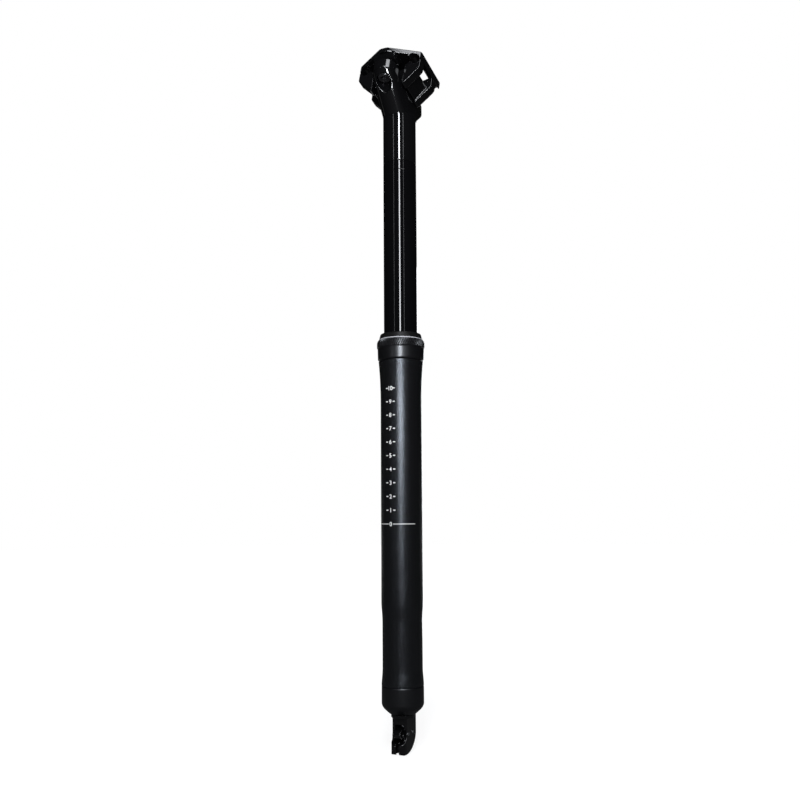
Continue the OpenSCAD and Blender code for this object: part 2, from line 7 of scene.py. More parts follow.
# %% Load the frame
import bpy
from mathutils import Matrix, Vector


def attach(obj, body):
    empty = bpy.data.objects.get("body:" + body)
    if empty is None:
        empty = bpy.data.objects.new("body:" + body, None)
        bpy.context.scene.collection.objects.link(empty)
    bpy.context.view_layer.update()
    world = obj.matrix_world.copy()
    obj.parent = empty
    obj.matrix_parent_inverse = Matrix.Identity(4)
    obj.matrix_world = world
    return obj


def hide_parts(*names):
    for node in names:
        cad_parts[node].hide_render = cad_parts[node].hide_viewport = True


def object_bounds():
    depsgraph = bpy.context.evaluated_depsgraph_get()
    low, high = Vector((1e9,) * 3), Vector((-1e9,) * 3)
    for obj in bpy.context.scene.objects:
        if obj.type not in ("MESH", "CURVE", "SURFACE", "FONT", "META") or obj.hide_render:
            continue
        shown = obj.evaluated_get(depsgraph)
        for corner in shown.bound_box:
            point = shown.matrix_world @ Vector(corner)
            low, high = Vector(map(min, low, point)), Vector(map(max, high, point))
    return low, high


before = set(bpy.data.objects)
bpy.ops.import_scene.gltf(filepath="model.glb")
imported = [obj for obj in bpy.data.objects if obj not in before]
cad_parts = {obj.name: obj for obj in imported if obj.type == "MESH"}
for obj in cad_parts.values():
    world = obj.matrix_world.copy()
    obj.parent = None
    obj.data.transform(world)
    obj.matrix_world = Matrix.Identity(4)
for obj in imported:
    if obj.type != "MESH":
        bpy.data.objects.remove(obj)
cad_box = [[float(c) for c in corner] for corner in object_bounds()]

import math
from functools import partial
import bmesh
import bpy
from mathutils import Matrix, Vector

scene = bpy.context.scene
scene.view_settings.view_transform = "Standard"
print("nodes", len(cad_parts), "box", cad_box)

# %% [markdown]
# ## The camera
# The photograph was taken from behind the post and to its right, with the eye a little above the scale's zero and
# the camera leaning back. So the head is seen from below and the foot from above. These few numbers were worked out
# from the rings of the post, whose curves say how far above or below the eye they are.

# %% Place the camera
EYE_DISTANCE = 0.680
EYE_HEIGHT = 0.0092
EYE_TURN = math.radians(26.6)
EYE_LEAN = math.radians(7.0)
EYE_ROLL = math.radians(0.34)
EYE_ASIDE = 0.00082
FOCAL_PIXELS = 906.0
IMAGE_PIXELS = 800.0
SENSOR_MM = 36.0
NEAREST_SEEN = 0.01

to_eye = Vector((-math.cos(EYE_TURN), -math.sin(EYE_TURN), 0.0))
level_right = Vector((math.sin(EYE_TURN), -math.cos(EYE_TURN), 0.0))
upright = Vector((0.0, 0.0, 1.0))
look_back = to_eye * math.cos(EYE_LEAN) - upright * math.sin(EYE_LEAN)
look_up = to_eye * math.sin(EYE_LEAN) + upright * math.cos(EYE_LEAN)
eye_up = look_up * math.cos(EYE_ROLL) + level_right * math.sin(EYE_ROLL)
eye_right = level_right * math.cos(EYE_ROLL) - look_up * math.sin(EYE_ROLL)

camera_data = bpy.data.cameras.new("photo_camera")
camera_data.sensor_width = SENSOR_MM
camera_data.lens = FOCAL_PIXELS / IMAGE_PIXELS * SENSOR_MM
camera_data.clip_start = NEAREST_SEEN
camera = bpy.data.objects.new("photo_camera", camera_data)
scene.collection.objects.link(camera)
eye = to_eye * EYE_DISTANCE + upright * EYE_HEIGHT - level_right * EYE_ASIDE
camera.matrix_world = Matrix((eye_right, eye_up, look_back)).transposed().to_4x4()
camera.matrix_world.translation = eye
scene.camera = camera
print("lens", round(camera_data.lens, 2), "eye", [round(c, 4) for c in eye])

# %% [markdown]
# ## The floor
# The photograph has a white ground with no edge to it. A wide pale floor does the same here. The camera sees it white
# whatever the lamps do, and near the post a share of real shading is left in, so that the post keeps a soft shadow.
# In reflections the floor glows only well behind the post, as it would with a backdrop there.

# %% Helpers for node trees
def add_node(tree, kind, **settings):
    node = tree.nodes.new(kind)
    for name, value in settings.items():
        setattr(node, name, value)
    return node


def join(tree, source, target):
    tree.links.new(source, target)


def feed(tree, value, socket):
    """Sets a socket to a number, or joins it to another socket."""
    if isinstance(value, (int, float)):
        socket.default_value = value
    else:
        join(tree, value, socket)


def maths(tree, operation, *terms):
    """One step of arithmetic on numbers and sockets."""
    node = add_node(tree, "ShaderNodeMath", operation=operation)
    for socket, term in zip(node.inputs, terms):
        feed(tree, term, socket)
    return node.outputs[0]


def ramp(tree, source, span, low, high):
    """Goes smoothly from low to high while the source crosses the span."""
    node = add_node(tree, "ShaderNodeMapRange", interpolation_type="SMOOTHSTEP")
    for name, value in zip(("From Min", "From Max", "To Min", "To Max"), (*span, low, high)):
        node.inputs[name].default_value = value
    join(tree, source, node.inputs["Value"])
    return node.outputs["Result"]


def seen_rays(tree):
    """Two switches: one for camera rays alone, and one for camera, glossy and transmission rays."""
    path = add_node(tree, "ShaderNodeLightPath").outputs
    mirrored = maths(tree, "MAXIMUM", path["Is Glossy Ray"], path["Is Transmission Ray"])
    return path["Is Camera Ray"], maths(tree, "MAXIMUM", path["Is Camera Ray"], mirrored)


def behind_post(tree, place):
    """How far a place or a direction lies behind the post, as the photograph sees it."""
    node = add_node(tree, "ShaderNodeVectorMath", operation="DOT_PRODUCT")
    node.inputs[1].default_value = -to_eye
    join(tree, place, node.inputs[0])
    return node.outputs["Value"]


print("behind the post is", [round(c, 3) for c in -to_eye])

# %% The floor's finish
FLOOR_PALE = (0.90, 0.90, 0.91, 1.0)
FLOOR_DIM = (0.07, 0.07, 0.07, 1.0)
FLOOR_GLOW = 1.12
GLOW_NEAR, GLOW_FAR = 0.76, 1.0
SHADOW_REACH = (0.14, 0.42)
BACKDROP_REACH = (0.9, 2.6)


def floor_finish():
    material = bpy.data.materials.new("pale_floor")
    material.use_nodes = True
    tree = material.node_tree
    tree.nodes.clear()
    to_camera, seen = seen_rays(tree)
    place = add_node(tree, "ShaderNodeTexCoord").outputs["Object"]
    colour = add_node(tree, "ShaderNodeMix", data_type="RGBA")
    colour.inputs["A"].default_value = FLOOR_DIM
    colour.inputs["B"].default_value = FLOOR_PALE
    join(tree, to_camera, colour.inputs["Factor"])
    shade = add_node(tree, "ShaderNodeBsdfDiffuse")
    join(tree, colour.outputs["Result"], shade.inputs["Color"])
    glow = add_node(tree, "ShaderNodeEmission")
    glow.inputs["Strength"].default_value = FLOOR_GLOW
    away = add_node(tree, "ShaderNodeVectorMath", operation="LENGTH")
    join(tree, place, away.inputs[0])
    shown = maths(tree, "MULTIPLY", to_camera, ramp(tree, away.outputs["Value"], SHADOW_REACH, GLOW_NEAR, GLOW_FAR))
    mirrored = maths(tree, "MULTIPLY", seen, ramp(tree, behind_post(tree, place), BACKDROP_REACH, 0.0, GLOW_NEAR))
    mix = add_node(tree, "ShaderNodeMixShader")
    join(tree, maths(tree, "MAXIMUM", shown, mirrored), mix.inputs["Fac"])
    join(tree, shade.outputs[0], mix.inputs[1])
    join(tree, glow.outputs[0], mix.inputs[2])
    out = add_node(tree, "ShaderNodeOutputMaterial")
    join(tree, mix.outputs[0], out.inputs["Surface"])
    return material


pale_floor = floor_finish()
print("floor finish nodes", len(pale_floor.node_tree.nodes))

# %% Lay the floor
FLOOR_DROP = 0.0006
FLOOR_RADIUS = 4.0
FLOOR_SIDES = 96

floor_mesh = bpy.data.meshes.new("floor")
floor_shape = bmesh.new()
bmesh.ops.create_circle(floor_shape, cap_ends=True, segments=FLOOR_SIDES, radius=FLOOR_RADIUS)
floor_shape.to_mesh(floor_mesh)
floor_shape.free()
floor = bpy.data.objects.new("floor", floor_mesh)
floor.location.z = cad_box[0][2] - FLOOR_DROP
scene.collection.objects.link(floor)
floor_mesh.materials.append(pale_floor)
print("floor height", round(floor.location.z, 4))

# %% [markdown]
# ## The world
# The world is white to the camera too. Reflections see that white only in a narrow cone straight behind the post, and
# elsewhere they see a dim studio, which keeps black metal black. Rays that only carry light meet a low, even fill.

# %% Paint the world
STUDIO_FILL = 0.14
STUDIO_DARK = 0.008
BACKDROP_CONE = (0.94, 0.995)

world = bpy.data.worlds.new("studio")
scene.world = world
world.use_nodes = True
sky = world.node_tree
sky.nodes.clear()
to_camera, seen = seen_rays(sky)
outlook = add_node(sky, "ShaderNodeTexCoord").outputs["Generated"]
backdrop = ramp(sky, behind_post(sky, outlook), BACKDROP_CONE, STUDIO_DARK, 1.0)
fill = add_node(sky, "ShaderNodeMix", data_type="FLOAT")
fill.inputs["A"].default_value = STUDIO_FILL
join(sky, seen, fill.inputs["Factor"])
join(sky, maths(sky, "MAXIMUM", backdrop, to_camera), fill.inputs["B"])
sky_glow = add_node(sky, "ShaderNodeBackground")
sky_glow.inputs["Color"].default_value = (1.0, 1.0, 1.0, 1.0)
join(sky, fill.outputs["Result"], sky_glow.inputs["Strength"])
sky_out = add_node(sky, "ShaderNodeOutputWorld")
join(sky, sky_glow.outputs[0], sky_out.inputs["Surface"])
print("world nodes", len(sky.nodes))

# %% [markdown]
# ## The lamps
# Black metal shows little but the lamps in it. One narrow upright lamp beside the camera makes the thin bright line
# down the polished tube and the broad soft one down the blasted tube. Its foot is level with the lower tube, so the
# line fades out below. A lamp high behind the camera lights what faces up, and two weak uprights to the sides draw the
# faint lines beside the bright one. A small lamp close by lights the flare under the collar and the rim round the
# bolt in the head. The sloping flank of the top clamp mirrors one small panel high on the right, and a soft lamp on
# the far side lights the back of the post and edges its outline.

# %% Hang the lamps
LAMP_TINT = (0.93, 0.955, 1.0)
CLAMP_FLANK = (-0.021, -0.018, 0.360)
LAMPS = (
    # name, turn to the right of the camera in degrees, distance, height, what it is aimed at, size, watts
    ("upright_key", -3, 0.85, 0.54, (0.0, 0.0, 0.45), (0.11, 0.88), 9.0),
    ("high_rear", 4, 0.75, 1.05, (0.0, 0.0, 0.34), (0.60, 0.40), 2.6),
    ("left_line", -43, 1.0, 0.45, (0.0, 0.0, 0.30), (0.03, 0.9), 0.30),
    ("right_line", 25, 1.0, 0.45, (0.0, 0.0, 0.30), (0.03, 0.9), 0.40),
    ("far_fill", 172, 0.6, 0.10, (0.0, 0.0, 0.10), (0.24, 0.52), 1.6),
    ("near_glow", -3, 0.30, 0.118, (0.0, 0.0, 0.118), (0.04, 0.028), 0.22),
    ("flank_panel", 27, 0.56, 1.10, CLAMP_FLANK, (0.36, 0.36), 2.2),
)


def hang_lamp(name, place, target, size, watts):
    data = bpy.data.lights.new(name, "AREA")
    data.shape = "RECTANGLE"
    data.size, data.size_y = size
    data.energy = watts
    data.color = LAMP_TINT
    lamp = bpy.data.objects.new(name, data)
    lamp.visible_camera = False
    lamp.matrix_world = Matrix.Translation(place) @ (target - place).to_track_quat("-Z", "Y").to_matrix().to_4x4()
    scene.collection.objects.link(lamp)


def around(turn_degrees, distance, height):
    """A place round the post, turned from the camera's side to its right."""
    turn = math.radians(turn_degrees)
    return (to_eye * math.cos(turn) + level_right * math.sin(turn)) * distance + upright * height


for name, turn, distance, height, target, size, watts in LAMPS:
    hang_lamp(name, around(turn, distance, height), Vector(target), size, watts)

# %% [markdown]
# ## Finishes
# Nearly everything is black, so the finishes differ in how they break up a reflection and not in colour. Two effects
# come back in many of them, and each is a node group: a fine grain, as blasting leaves before the metal is dyed,
# and soft smears, as hands leave on polished paint. Both put out a roughness, and a height for colour and bump.

# %% Tools for shared effects
def group_with(name, inputs, outputs):
    tree = bpy.data.node_groups.new(name, "ShaderNodeTree")
    for label, value in inputs.items():
        socket = tree.interface.new_socket(label, in_out="INPUT", socket_type="NodeSocketFloat")
        socket.default_value = value
    for label in outputs:
        tree.interface.new_socket(label, in_out="OUTPUT", socket_type="NodeSocketFloat")
    return tree, add_node(tree, "NodeGroupInput").outputs, add_node(tree, "NodeGroupOutput").inputs


def object_noise(tree, scale, detail, stretch=(1.0, 1.0, 1.0)):
    """Noise that stays on the piece as it moves; a stretch below 1 draws it out along that axis."""
    mapping = add_node(tree, "ShaderNodeMapping")
    mapping.inputs["Scale"].default_value = stretch
    join(tree, add_node(tree, "ShaderNodeTexCoord").outputs["Object"], mapping.inputs["Vector"])
    noise = add_node(tree, "ShaderNodeTexNoise")
    noise.inputs["Detail"].default_value = detail
    join(tree, mapping.outputs["Vector"], noise.inputs["Vector"])
    feed(tree, scale, noise.inputs["Scale"])
    return noise.outputs["Fac"]


def between(tree, factor, low, high):
    """Maps a factor of 0 to 1 onto the span from low to high."""
    node = add_node(tree, "ShaderNodeMapRange")
    join(tree, factor, node.inputs["Value"])
    feed(tree, low, node.inputs["To Min"])
    feed(tree, high, node.inputs["To Max"])
    return node.outputs["Result"]


EFFECT_OUTPUTS = ("Roughness", "Height")
print("each effect gives", EFFECT_OUTPUTS)

# %% Grain and smears
GRAIN_DETAIL = 2.0
BLOTCH_SCALE, BLOTCH_DETAIL = 55.0, 3.0
GRAIN_SHARE = 0.5
SMEAR_DETAIL = 4.0
SMEAR_STRETCH = (1.0, 1.0, 0.35)


def grain_group():
    tree, given, result = group_with(
        "blasted_grain", {"Scale": 3000.0, "Low roughness": 0.3, "High roughness": 0.4}, EFFECT_OUTPUTS)
    fine = object_noise(tree, given["Scale"], GRAIN_DETAIL)
    blotches = object_noise(tree, BLOTCH_SCALE, BLOTCH_DETAIL)
    both = maths(tree, "MULTIPLY_ADD", fine, GRAIN_SHARE, maths(tree, "MULTIPLY", blotches, 1.0 - GRAIN_SHARE))
    join(tree, between(tree, both, given["Low roughness"], given["High roughness"]), result["Roughness"])
    join(tree, fine, result["Height"])
    return tree


def smear_group():
    tree, given, result = group_with(
        "hand_smears", {"Scale": 30.0, "Low roughness": 0.1, "High roughness": 0.2}, EFFECT_OUTPUTS)
    soft = object_noise(tree, given["Scale"], SMEAR_DETAIL, SMEAR_STRETCH)
    join(tree, between(tree, soft, given["Low roughness"], given["High roughness"]), result["Roughness"])
    join(tree, soft, result["Height"])
    return tree


EFFECTS = {"grain": grain_group(), "smears": smear_group()}
print("effects", {label: len(tree.nodes) for label, tree in EFFECTS.items()})

# %% [markdown]
# ## One recipe for every finish
# Each finish is one Principled shader with an effect in front of it. The effect moves the colour between two close
# shades and the roughness over a small span, and where a bump is asked for it also raises the surface. What is the
# same all over, such as the metal share or the tint of reflections, is set on the shader itself.

# %% The recipe
FINISHES = {}


def finish(name, colours, effect, scale, roughness, metallic=0.0, specular=0.5, ior=1.5, tint=(1.0, 1.0, 1.0),
           bump=0.0, bump_depth=0.00002):
    """A finish from two close colours and a span of roughness, with one effect at the given scale for both."""
    material = bpy.data.materials.new(name)
    material.use_nodes = True
    tree = material.node_tree
    shader = tree.nodes["Principled BSDF"]
    group = add_node(tree, "ShaderNodeGroup", node_tree=EFFECTS[effect])
    group.inputs["Scale"].default_value = scale
    group.inputs["Low roughness"].default_value, group.inputs["High roughness"].default_value = roughness
    join(tree, group.outputs["Roughness"], shader.inputs["Roughness"])
    mix = add_node(tree, "ShaderNodeMix", data_type="RGBA")
    mix.inputs["A"].default_value = (*colours[0], 1.0)
    mix.inputs["B"].default_value = (*colours[1], 1.0)
    join(tree, group.outputs["Height"], mix.inputs["Factor"])
    join(tree, mix.outputs["Result"], shader.inputs["Base Color"])
    shader.inputs["Metallic"].default_value = metallic
    shader.inputs["Specular IOR Level"].default_value = specular
    shader.inputs["IOR"].default_value = ior
    shader.inputs["Specular Tint"].default_value = (*tint, 1.0)
    if bump:
        relief = add_node(tree, "ShaderNodeBump")
        relief.inputs["Strength"].default_value = bump
        relief.inputs["Distance"].default_value = bump_depth
        join(tree, group.outputs["Height"], relief.inputs["Height"])
        join(tree, relief.outputs["Normal"], shader.inputs["Normal"])
    FINISHES[name] = material


finish("blasted_black", ((0.0042, 0.0043, 0.0047), (0.0068, 0.0069, 0.0076)), "grain", 1500.0, (0.20, 0.28),
       specular=0.47, ior=1.65, tint=(0.84, 0.91, 1.0), bump=1.0, bump_depth=0.00017)
finish("turned_black", ((0.0030, 0.0030, 0.0034), (0.0052, 0.0052, 0.0058)), "grain", 900.0, (0.26, 0.36),
       specular=0.48, ior=1.65, tint=(0.93, 0.96, 1.0), bump=0.25, bump_depth=0.00003)
finish("polished_black", ((0.0018, 0.0018, 0.0021), (0.0030, 0.0030, 0.0034)), "smears", 30.0, (0.04, 0.08),
       specular=0.36)
finish("forged_black", ((0.0022, 0.0022, 0.0025), (0.0040, 0.0040, 0.0044)), "smears", 45.0, (0.05, 0.09),
       specular=0.75, bump=0.05)
finish("turned_edge", ((0.48, 0.48, 0.50), (0.60, 0.60, 0.63)), "grain", 1800.0, (0.40, 0.52), metallic=0.35)
finish("bare_aluminium", ((0.62, 0.63, 0.65), (0.74, 0.75, 0.77)), "grain", 900.0, (0.28, 0.42), metallic=1.0,
       bump=0.1)
finish("ground_steel", ((0.50, 0.51, 0.53), (0.62, 0.63, 0.65)), "smears", 90.0, (0.14, 0.24), metallic=1.0)
finish("black_steel", ((0.10, 0.10, 0.105), (0.16, 0.16, 0.165)), "smears", 120.0, (0.16, 0.28), metallic=0.85)
finish("brass", ((0.60, 0.44, 0.17), (0.72, 0.55, 0.24)), "smears", 150.0, (0.24, 0.36), metallic=1.0)
finish("rubber", ((0.010, 0.010, 0.010), (0.018, 0.018, 0.017)), "grain", 1500.0, (0.55, 0.75), specular=0.3,
       bump=0.2)
finish("wiper_rubber", ((0.004, 0.004, 0.004), (0.007, 0.007, 0.007)), "grain", 1500.0, (0.32, 0.45),
       specular=0.15)
finish("foam", ((0.22, 0.19, 0.14), (0.36, 0.32, 0.25)), "grain", 1100.0, (0.85, 0.95), specular=0.2, bump=0.8,
       bump_depth=0.0003)
finish("bush_plastic", ((0.30, 0.29, 0.25), (0.40, 0.38, 0.33)), "grain", 700.0, (0.45, 0.60), specular=0.4,
       bump=0.1)
finish("white_ink", ((0.86, 0.86, 0.85), (0.95, 0.95, 0.94)), "grain", 3500.0, (0.5, 0.65), specular=0.3,
       bump=0.1)
print("finishes", list(FINISHES))

# %% Give every node its finish
NODE_FINISH = {
    "blasted_black": ("outer_tube",),
    "turned_black": ("seal_collar", "bottom_cap"),
    "polished_black": ("stanchion_tube",),
    "forged_black": ("post_head", "lower_cradle", "upper_clamp", "actuator_bracket", "actuator_lever"),
    "rubber": ("cap_seal_ring", "bottom_bumper", "top_bumper", "piston_ring", "rod_seal"),
    "wiper_rubber": ("wiper_seal",),
    "foam": ("foam_ring",),
    "bush_plastic": ("upper_bushing", "guide_bush"),
    "bare_aluminium": ("travel_spacer", "piston", "rod_guide", "cylinder_plug", "gas_cylinder", "cylinder_retainer"),
    "ground_steel": ("piston_rod", "release_pin", "lever_pivot_pin", "lever_stop_pin", "rear_washer", "front_washer"),
    "black_steel": ("rear_barrel_nut", "front_barrel_nut", "rear_bolt", "front_bolt"),
    "brass": ("guide_keys",),
}
for finish_name, node_names in NODE_FINISH.items():
    for node_name in node_names:
        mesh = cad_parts[node_name].data
        mesh.materials.clear()
        mesh.materials.append(FINISHES[finish_name])
print("nodes with a finish", sum(len(v) for v in NODE_FINISH.values()))

# %% [markdown]
# ## Edges of the forged pieces
# The head, the rail clamp and the foot are forged, tumbled and then finished, so no edge on them is sharp, and on
# black metal it is these rounded edges that catch the light. A bevel would have to solve every corner where bores and
# flats meet. Here a copy of each solid is rebuilt from small even voxels instead, and smoothed a little, which rounds
# every edge alike. The copy then stands for its node.

# %% Round the forged edges
MERGE_DISTANCE = 0.000002
SOFTEN_SHARE = 0.5
FORGED = (
    # node, body, voxel in metres, passes of smoothing
    ("post_head", "upper_post", 0.00044, 9),
    ("lower_cradle", "saddle_clamp", 0.00030, 12),
    ("upper_clamp", "saddle_clamp", 0.00031, 11),
    ("actuator_bracket", "lower_post", 0.00020, 14),
    ("actuator_lever", "lever", 0.00014, 14),
)


def evaluated_mesh(holder):
    """The mesh that an object's modifiers or text give, as plain data."""
    bpy.context.view_layer.update()
    return bpy.data.meshes.new_from_object(holder.evaluated_get(bpy.context.evaluated_depsgraph_get()))


def tumbled(node_name, body, voxel, passes):
    """A copy of a node with every edge rounded off; it rides on the body and replaces the node."""
    shape = bmesh.new()
    shape.from_mesh(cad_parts[node_name].data)
    bmesh.ops.remove_doubles(shape, verts=shape.verts, dist=MERGE_DISTANCE)
    rough = bpy.data.meshes.new(node_name + "_rough")
    shape.to_mesh(rough)
    shape.free()
    holder = bpy.data.objects.new(node_name + "_rough", rough)
    scene.collection.objects.link(holder)
    even = holder.modifiers.new("even", "REMESH")
    even.mode = "VOXEL"
    even.voxel_size = voxel
    soften = holder.modifiers.new("soften", "SMOOTH")
    soften.factor = SOFTEN_SHARE
    soften.iterations = passes
    mesh = evaluated_mesh(holder)
    bpy.data.objects.remove(holder)
    bpy.data.meshes.remove(rough)
    mesh.name = node_name + "_tumbled"
    mesh.shade_smooth()
    mesh.materials.clear()
    mesh.materials.append(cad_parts[node_name].data.materials[0])
    piece = bpy.data.objects.new(node_name + "_tumbled", mesh)
    scene.collection.objects.link(piece)
    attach(piece, body)
    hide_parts(node_name)
    print(mesh.name, "faces", len(mesh.polygons))


for node_name, body, voxel, passes in FORGED:
    tumbled(node_name, body, voxel, passes)

# %% [markdown]
# ## A lathe made of nodes
# The collar and the end cap are turned on a lathe. A lathe follows a profile round an axis, and so does this node
# tree: it wraps a grid round the post, takes each row's radius and height from a list of profile points, and presses
# slanting grooves into the rows of the grip band, with a very faint second set across them. Within the band the grid
# is twisted so that its columns run along the grooves, which keeps their edges clean.

# %% The lathe's inputs
def lathe_inputs(tree):
    """Gives the tree its named inputs and its output, and returns the sockets of the inputs."""
    sockets = tree.interface
    sockets.new_socket("Profile", in_out="INPUT", socket_type="NodeSocketGeometry")
    for label in ("Columns", "Starts"):
        sockets.new_socket(label, in_out="INPUT", socket_type="NodeSocketInt")
    for label in ("Slant", "Depth", "Groove width", "Band low", "Band high", "Band radius", "Edge low", "Edge high",
                  "Edge radius"):
        sockets.new_socket(label, in_out="INPUT", socket_type="NodeSocketFloat")
    for label in ("Body finish", "Edge finish", "Lip finish"):
        sockets.new_socket(label, in_out="INPUT", socket_type="NodeSocketMaterial")
    sockets.new_socket("Ring", in_out="OUTPUT", socket_type="NodeSocketGeometry")
    return add_node(tree, "NodeGroupInput").outputs


lathe = bpy.data.node_groups.new("knurling_lathe", "GeometryNodeTree")
given = lathe_inputs(lathe)
reckon = partial(maths, lathe)
print("lathe inputs", [socket.name for socket in given if socket.name])

# %% Rows from the profile
def position():
    """X, Y and Z of the point that the tree works on."""
    split = add_node(lathe, "ShaderNodeSeparateXYZ")
    join(lathe, add_node(lathe, "GeometryNodeInputPosition").outputs[0], split.inputs[0])
    return split.outputs


profile_size = add_node(lathe, "GeometryNodeAttributeDomainSize", component="MESH")
join(lathe, given["Profile"], profile_size.inputs[0])
rows = profile_size.outputs["Point Count"]
grid = add_node(lathe, "GeometryNodeMeshGrid")
grid.inputs["Size X"].default_value = 1.0
grid.inputs["Size Y"].default_value = 1.0
join(lathe, reckon("ADD", given["Columns"], 1), grid.inputs["Vertices X"])
join(lathe, reckon("ADD", rows, 1), grid.inputs["Vertices Y"])
flat = position()
row = reckon("MODULO", reckon("ROUND", reckon("MULTIPLY", reckon("ADD", flat["Y"], 0.5), rows)), rows)
pick = add_node(lathe, "GeometryNodeSampleIndex", data_type="FLOAT_VECTOR", domain="POINT")
join(lathe, given["Profile"], pick.inputs["Geometry"])
join(lathe, add_node(lathe, "GeometryNodeInputPosition").outputs[0], pick.inputs["Value"])
join(lathe, row, pick.inputs["Index"])
picked = add_node(lathe, "ShaderNodeSeparateXYZ")
join(lathe, pick.outputs["Value"], picked.inputs[0])
row_radius, row_height = picked.outputs["X"], picked.outputs["Z"]
print("lathe nodes with the rows", len(lathe.nodes))

# %% Grooves of the grip
CROSSING_SHARE = 0.04

along = reckon("MULTIPLY", flat["X"], given["Starts"])
within = reckon("MINIMUM", reckon("MAXIMUM", row_height, given["Band low"]), given["Band high"])
lean = reckon("MULTIPLY", within, given["Slant"])
row_turn = reckon("MULTIPLY", reckon("ADD", flat["X"], reckon("DIVIDE", lean, given["Starts"])), math.tau)


def groove(place):
    """One in the middle of a groove and zero beside it."""
    wave = reckon("PINGPONG", place, 0.5)
    return reckon("SUBTRACT", 1.0, reckon("MINIMUM", reckon("DIVIDE", wave, given["Groove width"]), 1.0))


across = reckon("ADD", along, reckon("MULTIPLY", lean, 2.0))
pressed = reckon("MAXIMUM", groove(along), reckon("MULTIPLY", groove(across), CROSSING_SHARE))
in_band = reckon("MULTIPLY", reckon("GREATER_THAN", row_height, given["Band low"]),
                 reckon("LESS_THAN", row_height, given["Band high"]))
outside = reckon("GREATER_THAN", row_radius, given["Band radius"])
cut = reckon("MULTIPLY", reckon("MULTIPLY", in_band, outside), given["Depth"])
knurled = reckon("SUBTRACT", row_radius, reckon("MULTIPLY", cut, pressed))
print("lathe nodes with the grooves", len(lathe.nodes))

# %% Wrap the rows round the post
wrapped_place = add_node(lathe, "ShaderNodeCombineXYZ")
join(lathe, reckon("MULTIPLY", knurled, reckon("COSINE", row_turn)), wrapped_place.inputs["X"])
join(lathe, reckon("MULTIPLY", knurled, reckon("SINE", row_turn)), wrapped_place.inputs["Y"])
join(lathe, row_height, wrapped_place.inputs["Z"])
wrap = add_node(lathe, "GeometryNodeSetPosition")
join(lathe, grid.outputs["Mesh"], wrap.inputs["Geometry"])
join(lathe, wrapped_place.outputs[0], wrap.inputs["Position"])
close = add_node(lathe, "GeometryNodeMergeByDistance")
close.inputs["Distance"].default_value = MERGE_DISTANCE
join(lathe, wrap.outputs[0], close.inputs["Geometry"])
realise = add_node(lathe, "GeometryNodeRealizeInstances")
join(lathe, close.outputs[0], realise.inputs[0])
print("lathe nodes with the wrap", len(lathe.nodes))

# %% Finish the turned rows
spot = position()
reach = reckon("SQRT", reckon("ADD", reckon("MULTIPLY", spot["X"], spot["X"]),
                              reckon("MULTIPLY", spot["Y"], spot["Y"])))
on_edge = reckon("MULTIPLY", reckon("GREATER_THAN", spot["Z"], given["Edge low"]),
                 reckon("GREATER_THAN", reach, given["Edge radius"]))
on_lip = reckon("GREATER_THAN", spot["Z"], given["Edge high"])
ring = realise.outputs[0]
for chosen, label in ((None, "Body finish"), (on_edge, "Edge finish"), (on_lip, "Lip finish")):
    paint = add_node(lathe, "GeometryNodeSetMaterial")
    join(lathe, ring, paint.inputs["Geometry"])
    if chosen is not None:
        join(lathe, chosen, paint.inputs["Selection"])
    join(lathe, given[label], paint.inputs["Material"])
    ring = paint.outputs[0]
join(lathe, ring, add_node(lathe, "NodeGroupOutput").inputs[0])
print("lathe nodes", len(lathe.nodes))

# %% Turn a piece on it
MM = 0.001
SHARP_ANGLE = math.radians(28.0)


def keep_used_slots(mesh):
    """Drops the material slots that no face uses."""
    slots = list(mesh.materials)
    used = {face.material_index for face in mesh.polygons}
    kept = [material for index, material in enumerate(slots) if index in used]
    slot_of_face = [kept.index(slots[face.material_index]) for face in mesh.polygons]
    mesh.materials.clear()
    for material in kept:
        mesh.materials.append(material)
    mesh.polygons.foreach_set("material_index", slot_of_face)


def turned(node_name, profile, sizes):
    """Turns a profile of radii and heights in millimetres; the piece rides on the lower post and replaces the node."""
    points = bpy.data.meshes.new(node_name + "_profile")
    points.from_pydata([(r * MM, 0.0, z * MM) for r, z in profile], [], [])
    holder = bpy.data.objects.new(node_name + "_profile", points)
    scene.collection.objects.link(holder)
    turning = holder.modifiers.new("turning", "NODES")
    turning.node_group = lathe
    for item in lathe.interface.items_tree:
        if item.item_type == "SOCKET" and item.name in sizes:
            turning[item.identifier] = sizes[item.name]
    mesh = evaluated_mesh(holder)
    bpy.data.objects.remove(holder)
    bpy.data.meshes.remove(points)
    shape = bmesh.new()
    shape.from_mesh(mesh)
    bmesh.ops.recalc_face_normals(shape, faces=shape.faces)
    shape.to_mesh(mesh)
    shape.free()
    keep_used_slots(mesh)
    mesh.shade_smooth()
    mesh.set_sharp_from_angle(angle=SHARP_ANGLE)
    mesh.name = node_name + "_turned"
    piece = bpy.data.objects.new(node_name + "_turned", mesh)
    scene.collection.objects.link(piece)
    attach(piece, "lower_post")
    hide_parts(node_name)
    print(mesh.name, "faces", len(mesh.polygons), "finishes", [m.name for m in mesh.materials])


TURNED_FINISHES = {"Body finish": FINISHES["turned_black"], "Edge finish": FINISHES["turned_edge"],
                   "Lip finish": FINISHES["wiper_rubber"]}
print("turned pieces may have", list(TURNED_FINISHES))

# %% [markdown]
# ## The collar
# The collar screws onto the tube and holds the wiper. It is knurled so that fingers can undo it, then dyed black, and
# its top edge is cut again after dyeing, which leaves a bright ring. The profile runs up the outside, over the lip
# and down the bore. The grip band has many rows, since a groove is only as clean as the rows that carry it.

# %% Turn the collar
BAND_LOW, BAND_HIGH, BAND_ROWS = 132.35, 137.75, 54
BAND_RADIUS = 18.10
DOME_START, DOME_DROP, DOME_CURVE = 135.4, 0.85, 1.7


